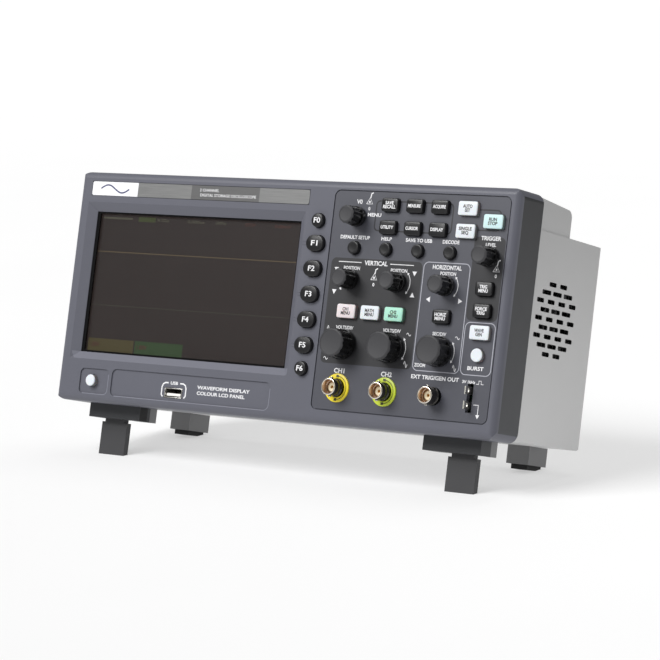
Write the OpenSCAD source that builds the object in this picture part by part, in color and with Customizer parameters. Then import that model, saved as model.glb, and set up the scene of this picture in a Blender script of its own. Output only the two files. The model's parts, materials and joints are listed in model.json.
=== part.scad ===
// Bench oscilloscope standing on its two front flip legs, tilted back.
// Case frame used by the helpers: x right, y back from the face, z up from the case bottom.

/* [Case] */
// case width across the front bezel
case_w = 318; // [318:0.5:322]
// height of the front bezel
face_h = 141; // [140.5:0.5:143]
// depth of the front bezel
bezel_d = 25; // [25:0.5:26]
// depth from the face to the rear wall
case_d = 99; // [99:0.5:104]
// radius of the bezel corners seen from the front
corner_r = 6; // [4:0.5:8]
// radius of the bezel front edges
edge_r = 4; // [2:0.5:5]
// wall thickness of the two case shells
wall = 2.4; // [2:0.1:2.6]

/* [Stance] */
// how far the case leans back on its front legs, degrees
tilt = 14; // [12:0.5:16]
// length of each front leg below its pivot
leg_len = 26; // [24:0.5:28]
// width of the leg blade
leg_w = 19.5; // [17:0.5:20]

/* [Controls] */
// diameter of the small knobs at the face end
small_knob = 10.6; // [9.6:0.2:11.2]
// diameter of the large knobs at the face end
large_knob = 16.6; // [15:0.2:17.4]
// height of every knob front above the panel
knob_h = 12.7; // [11:0.1:14]
// how far the button caps stand out of the panel
cap_out = 2.5; // [1.5:0.1:3.5]

/* [Hidden] */
$fn = 48;

// stance: the floor passes under the leg tips, the case turns about x
shift_y = -59.96;
pivot_y = 23;
pivot_z = -4.5;
tip_y = pivot_y - 2;
tip_z = pivot_z - leg_len;
lift_z = tip_y * sin(tilt) - tip_z * cos(tilt);

// colours of the plastics and metals
bezel_c = [0.36, 0.36, 0.40];
housing_c = [0.68, 0.68, 0.67];
dark_c = [0.13, 0.13, 0.14];
white_c = [0.93, 0.93, 0.92];
steel_c = [0.75, 0.75, 0.77];
board_c = [0.10, 0.36, 0.22];

// front plate and the layers behind it
plate_t = 3.2;
sheet_front = 0.2;
sheet_back = 1.0;
board_y = 11;
board_t = 1.6;
// clearance around caps in their holes
cap_gap = 0.3;
// retaining flange of a cap
flange_y = 3.7;
flange_t = 1.0;
flange_lip = 1.0;
stem_y = 5.9;
stem_r = 1.4;
switch_y = 7.0;

// bezel half width
hw = case_w / 2;
// housing side is set in from the bezel side
side_in = 1.5;

// round caps: name order default_setup, help, save_usb, decode
round_xs = [51.3, 73.3, 95.3, 117.0];
round_z = 102.5;
round_r = 3.8;
// menu caps in two rows of three
menu_xs = [73.5, 90.5, 107.5];
menu_zs = [128, 115.1];
dark_size = [11.2, 7.8];
lit_size = [12.6, 8.0];
// function caps beside the screen
f_x = 24;
f_zs = [117.3, 103.9, 89.1, 74.2, 59.3, 44.4, 30.8];
f_oval = [12.2, 9.4];
f_round_r = 4.1;
power_at = [-131.2, 12.9];
power_r = 3.5;

// knob centres
menu_knob = [51.0, 120.5];
ch1_pos = [50.8, 84.0];
ch2_pos = [83.5, 84.0];
horiz_pos = [116.6, 83.7];
trig_level = [143.4, 101.4];
ch1_volts = [51.0, 46.5];
ch2_volts = [83.6, 46.6];
time_base = [117.1, 46.6];
pushed_at = [menu_knob, ch1_pos, ch2_pos, trig_level, time_base];
stub_at = [ch1_volts, ch2_volts, horiz_pos];
shaft_r = 3.0;
knob_bore_r = 3.05;
shaft_front = -10;
knob_back = -1.0;
bushing_r = 4.2;
bushing_y = 3.8;
encoder_y = 7.2;
encoder_w = 11.6;

// input jacks
bnc_at = [[50.2, 21.4], [82.8, 21.4], [116.2, 21.4]];
bnc_len = 9.2;
bnc_r = 4.9;
bnc_bore_r = 4.05;
bnc_core_y = -5.2;
contact_r = 0.9;
// probe terminals
probe_x = 140.2;
probe_zs = [26.3, 18.0];
// host socket in the front
usb_at = [-68.5, 9.8];
usb_size = [13.2, 5.8];

// display
view_x = [-145.4, 9.4];
view_z = [30.2, 116.8];
frame_x = [-151.4, 13.6];
frame_z = [25.8, 122.3];

// foot blocks that carry the legs
block_x = [103.5, 142.5];
block_y = [14.5, 31.5];
block_z = -8.5;
leg_x = 127.0;
leg_t = 4;
neck_w = 15;
pin_r = 1.5;
pin_len = 2.6;
// rear feet
foot_x = [117.5, 132.5];
foot_y = [83, 103];
foot_z = -9.2;
pad_y = [85.5, 101];

// side vents and the fan behind them
vent_y = 53;
vent_z = 72.8;
vent_pitch_y = 11.8;
vent_pitch_z = 4.97;
vent_counts = [2, 3, 4, 3, 4, 3, 4, 3, 2];
vent_lengths = [7.8, 9.7, 7.6, 9.7, 7.6, 9.7, 7.6, 9.7, 7.8];
fan_w = 40;
fan_t = 10;
fan_x1 = 155.0;
fan_x0 = fan_x1 - fan_t;

// height of the floor of the rear shell above the lower edge of the bezel
shell_z = 1.8;

// rear panel
inlet_at = [-112, 30];
device_usb_at = [62, 20];
main_y = [34, case_d - wall - 0.6];

module stand() {
    translate([0, shift_y, lift_z])
        rotate([-tilt, 0, 0])
            children();
}

// flat rounded rectangle, exact arcs
module rounded(x0, x1, z0, z1, r) {
    translate([x0 + r, z0]) square([x1 - x0 - 2 * r, z1 - z0]);
    translate([x0, z0 + r]) square([x1 - x0, z1 - z0 - 2 * r]);
    for (x = [x0 + r, x1 - r], z = [z0 + r, z1 - r])
        translate([x, z]) circle(r);
}

// a front view outline drawn back from y0 to y1
module along_y(y0, y1) {
    translate([0, y1, 0])
        rotate([90, 0, 0])
            linear_extrude(height = y1 - y0)
                children();
}

// a side view outline (y, z) drawn across from x0 to x1
module along_x(x0, x1) {
    translate([x0, 0, 0])
        rotate([90, 0, 90])
            linear_extrude(height = x1 - x0)
                children();
}

module block(x0, x1, y0, y1, z0, z1) {
    translate([x0, y0, z0])
        cube([x1 - x0, y1 - y0, z1 - z0]);
}

module rod(at, y0, y1, r) {
    translate([at[0], y1, at[1]])
        rotate([90, 0, 0])
            cylinder(h = y1 - y0, r = r);
}

module rod_x(y, z, x0, x1, r) {
    translate([x0, y, z])
        rotate([0, 90, 0])
            cylinder(h = x1 - x0, r = r);
}

module cap_outline(at, size, r, grow) {
    rounded(at[0] - size[0] / 2 - grow, at[0] + size[0] / 2 + grow,
        at[1] - size[1] / 2 - grow, at[1] + size[1] / 2 + grow, r + grow);
}

// every hole the caps, shafts and jacks pass through
module panel_holes(y0, y1) {
    along_y(y0, y1) {
        for (x = menu_xs, z = menu_zs)
            cap_outline([x, z], dark_size, 1.6, cap_gap);
        for (at = [[142.8, 83.3], [142.8, 70.9], [116.4, 66.2]])
            cap_outline(at, dark_size, 1.6, cap_gap);
        for (at = [[126.4, 128], [126.4, 115.1], [144, 121.2], [51.6, 65.7], [68.1, 65.7],
                [84.5, 65.7], [143.1, 58.8]])
            cap_outline(at, lit_size, 1.2, cap_gap);
        for (x = round_xs)
            translate([x, round_z]) circle(round_r + cap_gap);
        translate([143.0, 46.2]) circle(round_r + cap_gap);
        for (at = concat(pushed_at, stub_at))
            translate(at) circle(bushing_r + 0.4);
        for (at = bnc_at)
            translate(at) circle(bnc_r + 0.3);
        translate([probe_x - 1.9, 14]) square([3.8, 16.4]);
    }
}

module side_holes(y0, y1) {
    along_y(y0, y1) {
        for (i = [1:5])
            cap_outline([f_x, f_zs[i]], f_oval, f_oval[1] / 2 - 0.01, cap_gap);
        for (i = [0, 6])
            translate([f_x, f_zs[i]]) circle(f_round_r + cap_gap);
        translate(power_at) circle(power_r + cap_gap);
        translate([usb_at[0] - usb_size[0] / 2 - 0.3, usb_at[1] - usb_size[1] / 2 - 0.3])
            square([usb_size[0] + 0.6, usb_size[1] + 0.6]);
    }
}

// sloped surround of the screen, then the straight sight opening
module screen_opening() {
    slope_end = plate_t - 0.4;
    intersection() {
        translate([0, 0, frame_z[0] - 1])
            linear_extrude(height = frame_z[1] - frame_z[0] + 2)
                polygon([[frame_x[0], -1], [frame_x[1], -1], [frame_x[1], 0],
                    [view_x[1], slope_end], [view_x[0], slope_end], [frame_x[0], 0]]);
        along_x(frame_x[0] - 1, frame_x[1] + 1)
            polygon([[-1, frame_z[0]], [0, frame_z[0]], [slope_end, view_z[0]],
                [slope_end, view_z[1]], [0, frame_z[1]], [-1, frame_z[1]]]);
    }
    block(view_x[0], view_x[1], slope_end - 0.5, plate_t + 1, view_z[0], view_z[1]);
}

module mirrored_x() {
    children();
    mirror([1, 0, 0]) children();
}

module bezel_outer() {
    intersection() {
        along_y(0, bezel_d)
            rounded(-hw, hw, 0, face_h, corner_r);
        linear_extrude(height = face_h)
            rounded(-hw, hw, 0, bezel_d + 12, edge_r);
        along_x(-hw, hw)
            rounded(0, bezel_d + 12, 0, face_h, edge_r);
    }
}

// front half of a foot block, with the pivot bore and the neck slot
module block_front() {
    difference() {
        block(block_x[0], block_x[1], block_y[0], bezel_d, block_z, 1);
        block(leg_x - neck_w / 2 - 0.35, leg_x + neck_w / 2 + 0.35, pivot_y - 2.4, bezel_d + 1,
            block_z - 1, -1.9);
        rod_x(pivot_y, pivot_z, leg_x - neck_w / 2 - pin_len - 0.4,
            leg_x + neck_w / 2 + pin_len + 0.4, pin_r + 0.05);
    }
}

module front_bezel() {
    color(bezel_c) stand() {
        difference() {
            bezel_outer();
            along_y(plate_t, bezel_d + 1)
                rounded(-hw + wall, hw - wall, wall, face_h - wall, corner_r - wall);
            screen_opening();
            // seat of the nameplate
            block(-149.8, 15.3, -1, 0.6, 126.2, 135.3);
            // seat of the control sheet
            along_y(-1, sheet_back)
                rounded(33, 153.5, 8, 136, 4);
            // shallow fields of the power cap and the host socket
            along_y(-1, 0.8)
                rounded(-141.3, -119, 4.8, 20.2, 3);
            along_y(-1, 0.8)
                rounded(-116.6, 3, 4.6, 21.1, 3.5);
            panel_holes(-1, plate_t + 1);
            side_holes(-1, plate_t + 1);
        }
        mirrored_x() block_front();
        // screw posts that take the board and the rear shell
        for (x = [-152.8, 152.8], z = [7.5, 133.5])
            difference() {
                rod([x, z], plate_t, 20.5, 3.4);
                rod([x, z], 8, 21, 1.2);
            }
    }
}

// side outline of the deep lower part of the rear shell, set in by t
module lower_side(t) {
    r = 7 - t;
    polygon([[15, shell_z + t], [case_d - 7, shell_z + t], [case_d - t, shell_z + 7],
        [case_d - t, 120.6 - t], [15, 121.5 - t]]);
    translate([case_d - 7, shell_z + 7]) circle(r);
}

// side outline of the shallow upper part
module upper_side(t) {
    polygon([[15, 90], [60.5 - t, 90], [60.5 - t, 132.4], [56, 136.9 - t], [45, 137.8 - t],
        [15, 140.2 - t]]);
    translate([56, 132.4]) circle(4.5 - t);
}

module shell_body(t, front) {
    s = hw - side_in - t;
    intersection() {
        union() {
            along_x(-s, s) lower_side(t);
            along_x(-s + 0.7, s - 0.7) upper_side(t);
        }
        linear_extrude(height = face_h)
            difference() {
                rounded(-s, s, front - 20, case_d - t, 5 - t);
                translate([-hw - 1, front - 30]) square([2 * hw + 2, 30]);
            }
    }
}

module vent_slot(y, z, l, x0, x1) {
    along_x(x0, x1)
        rounded(y - l / 2, y + l / 2, z - 1.3, z + 1.3, 0.8);
}

module side_vents(x0, x1) {
    for (row = [0:8])
        for (k = [0:vent_counts[row] - 1])
            vent_slot(vent_y + (k - (vent_counts[row] - 1) / 2) * vent_pitch_y,
                vent_z + (4 - row) * vent_pitch_z, vent_lengths[row], x0, x1);
}

module rear_vents() {
    for (i = [0:11])
        along_y(case_d - wall - 1, case_d + 1)
            rounded(-46 + i * 8, -42.4 + i * 8, 62, 96, 1.2);
}

module tongue() {
    s = hw - wall - 0.2;
    difference() {
        along_y(21, bezel_d)
            rounded(-s, s, wall + 0.2, face_h - wall - 0.2, corner_r - wall);
        along_y(20, bezel_d + 1)
            rounded(-s + 1.6, s - 1.6, wall + 1.8, face_h - wall - 1.8, 2);
    }
}

// rim that joins the tongue to the shell
module rim() {
    s = hw - side_in;
    difference() {
        along_y(bezel_d, bezel_d + 2)
            rounded(-s, s, shell_z, 139, 5);
        along_y(bezel_d - 1, bezel_d + 3)
            rounded(-s + 3.4, s - 3.4, 4.6, 135, 3);
    }
}

module foot_block() {
    difference() {
        union() {
            block(foot_x[0], foot_x[1], foot_y[0], foot_y[1], foot_z, shell_z + 0.8);
            // wraps round the lower rear edge of the shell
            block(foot_x[0], foot_x[1], case_d - 3.5, foot_y[1], shell_z, shell_z + 3.2);
        }
        block(foot_x[0] + 2, foot_x[1] - 2, pad_y[0], pad_y[1], foot_z - 1, foot_z + 1.5);
    }
}

// rear half of the foot block, open for the leg blade
module block_rear() {
    difference() {
        block(block_x[0], block_x[1], bezel_d, block_y[1], block_z, shell_z + 0.8);
        block(leg_x - leg_w / 2 - 0.5, leg_x + leg_w / 2 + 0.5, bezel_d - 1, block_y[1] + 1,
            block_z - 1, -1.9);
    }
}

module rear_housing() {
    color(housing_c) stand() {
        difference() {
            shell_body(0, bezel_d);
            shell_body(wall, bezel_d - 1);
            side_vents(hw - 8, hw + 1);
            side_vents(-hw - 1, -hw + 8);
            rear_vents();
            // mains inlet
            block(inlet_at[0] - 14.3, inlet_at[0] + 14.3, case_d - wall - 1, case_d + 1,
                inlet_at[1] - 10.8, inlet_at[1] + 10.8);
            // device socket
            block(device_usb_at[0] - 6.3, device_usb_at[0] + 6.3, case_d - wall - 1, case_d + 1,
                device_usb_at[1] - 5.6, device_usb_at[1] + 5.6);
            // countersinks of the rear screws
            for (x = [-146, 146], z = [14, 108])
                rod([x, z], case_d - wall - 1, case_d + 1, 1.7);
        }
        rim();
        tongue();
        mirrored_x() foot_block();
        mirrored_x() block_rear();
        // posts behind the rear screws
        for (x = [-146, 146], z = [14, 108])
            difference() {
                rod([x, z], 82, case_d - wall + 0.2, 4);
                rod([x, z], 83, case_d, 1.25);
            }
        // ledges under the two circuit boards
        for (x = [-140, -62, -20, 60, 128])
            block(x - 3, x + 3, main_y[0] + 6, main_y[0] + 12, wall - 0.2, 9.4);
    }
}

module nameplate() {
    color(steel_c) stand()
        along_y(0.05, 0.6)
            rounded(-149.5, 15.0, 126.5, 135.0, 1.2);
}

module control_sheet() {
    color(bezel_c) stand()
        difference() {
            along_y(sheet_front, sheet_back)
                rounded(33.6, 152.9, 8.6, 135.4, 3.4);
            panel_holes(-1, plate_t);
        }
}

module display_window() {
    color([0.1, 0.09, 0.09]) stand()
        block(view_x[0] - 2, view_x[1] + 2, plate_t, plate_t + 1.2, view_z[0] - 2, view_z[1] + 2);
}

module lcd_module() {
    color([0.2, 0.18, 0.18]) stand()
        difference() {
            block(-150.5, 14.5, 4.6, 10.2, 24, 123.2);
            block(view_x[0] - 1, view_x[1] + 1, 4, 5.0, view_z[0] - 1, view_z[1] + 1);
        }
}

// tact switch behind a cap
module tact(at) {
    block(at[0] - 3, at[0] + 3, switch_y + 0.9, board_y, at[1] - 3, at[1] + 3);
    rod(at, switch_y, switch_y + 0.9, 1.7);
}

module encoder(at) {
    difference() {
        union() {
            block(at[0] - encoder_w / 2, at[0] + encoder_w / 2, encoder_y, board_y,
                at[1] - encoder_w / 2, at[1] + encoder_w / 2);
            rod(at, bushing_y, encoder_y, bushing_r);
        }
        rod(at, bushing_y - 1, 9, shaft_r + 0.05);
        rod(at, 8.4, board_y - 0.1, 4.4);
    }
}

module stub_encoder(at) {
    block(at[0] - encoder_w / 2, at[0] + encoder_w / 2, encoder_y, board_y,
        at[1] - encoder_w / 2, at[1] + encoder_w / 2);
    rod(at, bushing_y, encoder_y, bushing_r);
    rod(at, shaft_front, bushing_y, shaft_r);
}

module front_board() {
    color(board_c) stand() {
        difference() {
            along_y(board_y, board_y + board_t) {
                translate([17, 12.5]) square([131, 119.5]);
                translate([17, 12.5]) square([133, 116.5]);
                translate([-145, 4.5]) square([293, 17.5]);
            }
            for (at = bnc_at)
                rod(at, board_y - 1, board_y + 3, 6.6);
            block(usb_at[0] - 7, usb_at[0] + 7, board_y - 1, board_y + 3, usb_at[1] - 3.3,
                usb_at[1] + 3.3);
            block(probe_x - 3, probe_x + 3, board_y - 1, board_y + 3, 13.5, 31);
        }
        for (x = menu_xs, z = menu_zs)
            tact([x, z]);
        for (at = [[142.8, 83.3], [142.8, 70.9], [116.4, 66.2], [126.4, 128], [126.4, 115.1],
                [144, 121.2], [51.6, 65.7], [68.1, 65.7], [84.5, 65.7], [143.1, 58.8],
                [143.0, 46.2], power_at])
            tact(at);
        for (x = round_xs)
            tact([x, round_z]);
        for (z = f_zs)
            tact([f_x, z]);
        for (at = pushed_at)
            encoder(at);
        for (at = stub_at)
            stub_encoder(at);
        // loops for the probe hook and its ground clip
        for (z = probe_zs)
            difference() {
                block(probe_x - 0.4, probe_x + 0.4, -5.2, board_y, z - 2.2, z + 2.2);
                rod_x(-2.8, z, probe_x - 1, probe_x + 1, 1.3);
            }
        block(probe_x - 4, probe_x + 4, board_y - 1.8, board_y + board_t, 14.5, 30);
    }
}

module main_board() {
    color(board_c) stand() {
        block(-28, 138, main_y[0], main_y[1], 9.4, 11.0);
        // shield over the input stages
        block(34, 126, main_y[0] + 2, main_y[0] + 26, 11.0, 24);
        // processor, memory and logic
        block(-6, 14, 62, 82, 11.0, 13);
        block(20, 32, 68, 80, 11.0, 12.2);
        block(92, 108, 66, 82, 11.0, 13);
        // device socket
        difference() {
            block(device_usb_at[0] - 6, device_usb_at[0] + 6, case_d - 17, case_d - 0.4,
                device_usb_at[1] - 5.3, device_usb_at[1] + 5.3);
            block(device_usb_at[0] - 4.4, device_usb_at[0] + 4.4, case_d - 9, case_d + 1,
                device_usb_at[1] - 4.0, device_usb_at[1] + 4.0);
        }
        block(device_usb_at[0] - 6, device_usb_at[0] + 6, case_d - 17, case_d - 5,
            11.0, device_usb_at[1] - 5.3);
        // flat cable header
        block(-24, 4, main_y[0] + 1, main_y[0] + 7, 11.0, 19);
    }
}

module power_supply() {
    color([0.78, 0.70, 0.42]) stand() {
        block(-148, -54, main_y[0], 78, 9.4, 11.0);
        // transformer, reservoir capacitors, heat sink
        block(-112, -86, 42, 66, 11.0, 36);
        translate([-130, 50, 11]) cylinder(h = 30, r = 9);
        translate([-130, 69, 11]) cylinder(h = 22, r = 7);
        block(-76, -73, 40, 72, 11.0, 44);
        block(-70, -62, 46, 68, 11.0, 24);
        // mains inlet body with its three blades
        difference() {
            block(inlet_at[0] - 14, inlet_at[0] + 14, 79, case_d + 0.8, inlet_at[1] - 10.5,
                inlet_at[1] + 10.5);
            block(inlet_at[0] - 12, inlet_at[0] + 12, 84, case_d + 2, inlet_at[1] - 8,
                inlet_at[1] + 8);
        }
        for (p = [[-7, -2.2], [0, 2.4], [7, -2.2]])
            block(inlet_at[0] + p[0] - 1, inlet_at[0] + p[0] + 1, 83, case_d - 5,
                inlet_at[1] + p[1] - 2, inlet_at[1] + p[1] + 2);
        block(inlet_at[0] - 6, inlet_at[0] + 6, 74, 79.5, 11.0, 30);
    }
}

module fan_frame() {
    color(dark_c) stand() {
        difference() {
            block(fan_x0, fan_x1, vent_y - fan_w / 2, vent_y + fan_w / 2, vent_z - fan_w / 2,
                vent_z + fan_w / 2);
            rod_x(vent_y, vent_z, fan_x0 - 1, fan_x1 + 1, 18.8);
            for (y = [-16, 16], z = [-16, 16])
                rod_x(vent_y + y, vent_z + z, fan_x0 - 1, fan_x1 + 1, 1.7);
        }
        // stator plate on four struts, with the bearing pin
        rod_x(vent_y, vent_z, fan_x0, fan_x0 + 1.4, 9);
        for (a = [45:90:315])
            translate([fan_x0, vent_y, vent_z])
                rotate([a, 0, 0])
                    translate([0, 8, -0.9]) cube([1.4, 11.2, 1.8]);
        rod_x(vent_y, vent_z, fan_x0, fan_x0 + 6, 1);
    }
}

module fan_rotor() {
    color(dark_c) stand() {
        difference() {
            rod_x(vent_y, vent_z, fan_x0 + 2, fan_x1 - 1, 8.8);
            rod_x(vent_y, vent_z, fan_x0 + 1, fan_x0 + 6.4, 1.05);
        }
        for (a = [0:40:320])
            translate([fan_x0 + 5.4, vent_y, vent_z])
                rotate([a, 0, 0])
                    translate([0, 8.4, 0])
                        rotate([0, 52, 0])
                            translate([-0.5, 0, -3.4]) cube([1, 9.2, 6.8]);
    }
}

module bnc_connectors() {
    color(steel_c) stand()
        for (at = bnc_at) {
            difference() {
                union() {
                    rod(at, -bnc_len, 12.8, bnc_r);
                    // flange against the back of the plate
                    rod(at, plate_t + 0.05, plate_t + 2, 6.4);
                    // base collar
                    rod(at, -2.4, -0.9, bnc_r + 0.25);
                }
                rod(at, -bnc_len - 1, bnc_core_y, bnc_bore_r);
                // hole of the centre contact in the insulator
                rod(at, bnc_core_y - 0.1, -1.5, contact_r);
            }
            // bayonet lugs
            for (s = [-1, 1])
                translate([at[0], -bnc_len + 2.9, at[1] + s * (bnc_r + 0.2)])
                    cylinder(h = 1.1, r = 0.95, center = true);
        }
}

module bnc_rings() {
    color([0.85, 0.82, 0.1]) stand()
        for (i = [0, 1])
            difference() {
                rod(bnc_at[i], -0.75, sheet_front, 8.3);
                rod(bnc_at[i], -1, sheet_front + 0.5, bnc_r + 0.35);
            }
}

module usb_host_socket() {
    color(steel_c) stand() {
        x0 = usb_at[0] - usb_size[0] / 2;
        z0 = usb_at[1] - usb_size[1] / 2;
        difference() {
            block(x0, x0 + usb_size[0], 0.6, 15, z0, z0 + usb_size[1]);
            block(x0 + 0.4, x0 + usb_size[0] - 0.4, 0, 14.6, z0 + 0.4, z0 + usb_size[1] - 0.4);
        }
        // contact tongue
        block(x0 + 1.2, x0 + usb_size[0] - 1.2, 3, 14.8, z0 + 3.1, z0 + 4.9);
    }
}

// the pad sole is flat in front and cut to the floor at its rear
module foot_pads() {
    floor_at_rear = tip_z + tan(tilt) * (pad_y[1] - tip_y);
    floor_at_cut = tip_z + tan(tilt) * (pad_y[1] - 6 - tip_y);
    color([0.05, 0.05, 0.05]) stand()
        mirrored_x()
            along_x(foot_x[0] + 2.05, foot_x[1] - 2.05)
                polygon([[pad_y[0] + 0.05, foot_z + 1.5], [pad_y[0] + 0.05, floor_at_cut],
                    [pad_y[1] - 6, floor_at_cut], [pad_y[1] - 0.05, floor_at_rear],
                    [pad_y[1] - 0.05, foot_z + 1.5]]);
}

module case_screws() {
    color(steel_c) stand()
        for (x = [-146, 146], z = [14, 108])
            difference() {
                union() {
                    rod([x, z], 84, case_d + 0.05, 1.2);
                    rod([x, z], case_d, case_d + 1.5, 3);
                }
                block(x - 0.4, x + 0.4, case_d + 0.7, case_d + 2, z - 2, z + 2);
                block(x - 2, x + 2, case_d + 0.7, case_d + 2, z - 0.4, z + 0.4);
            }
}

module leg(x) {
    shoulder_z = pivot_z - 6;
    foot_back = tip_z + tan(tilt) * leg_t;
    color(dark_c) stand() {
        // neck with its rounded end
        block(x - neck_w / 2, x + neck_w / 2, tip_y, tip_y + leg_t, shoulder_z - 0.5, pivot_z);
        rod_x(pivot_y, pivot_z, x - neck_w / 2, x + neck_w / 2, 2);
        rod_x(pivot_y, pivot_z, x - neck_w / 2 - pin_len, x + neck_w / 2 + pin_len, pin_r);
        // blade, its end cut to the floor
        along_x(x - leg_w / 2, x + leg_w / 2)
            polygon([[tip_y, shoulder_z], [tip_y, tip_z], [tip_y + leg_t, foot_back],
                [tip_y + leg_t, shoulder_z]]);
    }
}

module leg_left() {
    leg(-leg_x);
}

module leg_right() {
    leg(leg_x);
}

// cap with a softened front edge, retaining flange and stem
module rect_cap(at, size, r) {
    stand() {
        along_y(-cap_out, flange_y + 0.1)
            cap_outline(at, size, r, 0);
        along_y(flange_y, flange_y + flange_t)
            cap_outline(at, size, r, flange_lip);
        rod(at, flange_y, stem_y, stem_r);
    }
}

module round_cap(at, r) {
    stand() {
        rod(at, -cap_out, flange_y + 0.1, r);
        rod(at, flange_y, flange_y + flange_t, r + flange_lip);
        rod(at, flange_y, stem_y, stem_r);
    }
}

module dark_cap(at) {
    color(dark_c) rect_cap(at, dark_size, 1.6);
}

module lit_cap(at, c) {
    color(c) rect_cap(at, lit_size, 1.2);
}

module f_cap(i) {
    color(dark_c)
        if (i == 0 || i == 6) round_cap([f_x, f_zs[i]], f_round_r);
        else rect_cap([f_x, f_zs[i]], f_oval, f_oval[1] / 2 - 0.01);
}

module dark_round(i) {
    color(dark_c) round_cap([round_xs[i], round_z], round_r);
}

module push_shaft(at) {
    color(steel_c) stand() {
        rod(at, shaft_front, 9.5, shaft_r);
        rod(at, 8.8, 9.6, 4.0);
    }
}

module knob(at, d) {
    r = d / 2;
    flutes = 12;
    color(dark_c) stand()
        translate([at[0], knob_back, at[1]])
            rotate([90, 0, 0])
                difference() {
                    rotate_extrude()
                        polygon([[0, 0], [r + 0.6, 0], [r + 0.6, 1.4], [r, 8.6],
                            [r, knob_h + knob_back - 0.7], [r - 0.7, knob_h + knob_back],
                            [0, knob_h + knob_back]]);
                    translate([0, 0, -1])
                        cylinder(h = -shaft_front + knob_back + 1.5, r = knob_bore_r);
                    for (a = [0:360 / flutes:359])
                        rotate([0, 0, a])
                            translate([r + 2.35, 0, 2.6]) cylinder(h = 12, r = 2.7);
                }
}

module button_f0() {
    f_cap(0);
}

module button_f1() {
    f_cap(1);
}

module button_f2() {
    f_cap(2);
}

module button_f3() {
    f_cap(3);
}

module button_f4() {
    f_cap(4);
}

module button_f5() {
    f_cap(5);
}

module button_f6() {
    f_cap(6);
}

module button_power() {
    color(white_c) round_cap(power_at, power_r);
}

module button_save_recall() {
    dark_cap([menu_xs[0], menu_zs[0]]);
}

module button_measure() {
    dark_cap([menu_xs[1], menu_zs[0]]);
}

module button_acquire() {
    dark_cap([menu_xs[2], menu_zs[0]]);
}

module button_utility() {
    dark_cap([menu_xs[0], menu_zs[1]]);
}

module button_cursor() {
    dark_cap([menu_xs[1], menu_zs[1]]);
}

module button_display() {
    dark_cap([menu_xs[2], menu_zs[1]]);
}

module button_auto_set() {
    lit_cap([126.4, 128], white_c);
}

module button_single() {
    lit_cap([126.4, 115.1], white_c);
}

module button_run_stop() {
    lit_cap([144, 121.2], [0.75, 0.95, 0.93]);
}

module button_default_setup() {
    dark_round(0);
}

module button_help() {
    dark_round(1);
}

module button_save_usb() {
    dark_round(2);
}

module button_decode() {
    dark_round(3);
}

module button_ch1_menu() {
    lit_cap([51.6, 65.7], [0.96, 0.85, 0.85]);
}

module button_math_menu() {
    lit_cap([68.1, 65.7], white_c);
}

module button_ch2_menu() {
    lit_cap([84.5, 65.7], [0.6, 0.95, 0.75]);
}

module button_horiz_menu() {
    dark_cap([116.4, 66.2]);
}

module button_trig_menu() {
    dark_cap([142.8, 83.3]);
}

module button_force_trig() {
    dark_cap([142.8, 70.9]);
}

module button_wave_gen() {
    lit_cap([143.1, 58.8], white_c);
}

module button_burst() {
    color(white_c) round_cap([143.0, 46.2], round_r);
}

module shaft_menu() {
    push_shaft(menu_knob);
}

module knob_menu() {
    knob(menu_knob, small_knob);
}

module shaft_ch1_position() {
    push_shaft(ch1_pos);
}

module knob_ch1_position() {
    knob(ch1_pos, small_knob);
}

module shaft_ch2_position() {
    push_shaft(ch2_pos);
}

module knob_ch2_position() {
    knob(ch2_pos, small_knob);
}

module shaft_trigger_level() {
    push_shaft(trig_level);
}

module knob_trigger_level() {
    knob(trig_level, small_knob);
}

module shaft_time_base() {
    push_shaft(time_base);
}

module knob_time_base() {
    knob(time_base, large_knob);
}

module knob_ch1_volts() {
    knob(ch1_volts, large_knob);
}

module knob_ch2_volts() {
    knob(ch2_volts, large_knob);
}

module knob_horiz_position() {
    knob(horiz_pos, small_knob);
}

front_bezel();
rear_housing();
nameplate();
control_sheet();
display_window();
lcd_module();
front_board();
main_board();
power_supply();
fan_frame();
fan_rotor();
bnc_connectors();
bnc_rings();
usb_host_socket();
foot_pads();
case_screws();
leg_left();
leg_right();
button_f0();
button_f1();
button_f2();
button_f3();
button_f4();
button_f5();
button_f6();
button_power();
button_save_recall();
button_measure();
button_acquire();
button_utility();
button_cursor();
button_display();
button_auto_set();
button_single();
button_run_stop();
button_default_setup();
button_help();
button_save_usb();
button_decode();
button_ch1_menu();
button_math_menu();
button_ch2_menu();
button_horiz_menu();
button_trig_menu();
button_force_trig();
button_wave_gen();
button_burst();
shaft_menu();
knob_menu();
shaft_ch1_position();
knob_ch1_position();
shaft_ch2_position();
knob_ch2_position();
shaft_trigger_level();
knob_trigger_level();
shaft_time_base();
knob_time_base();
knob_ch1_volts();
knob_ch2_volts();
knob_horiz_position();
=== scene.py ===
import json
import math

import bpy
from mathutils import Matrix, Vector


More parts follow.
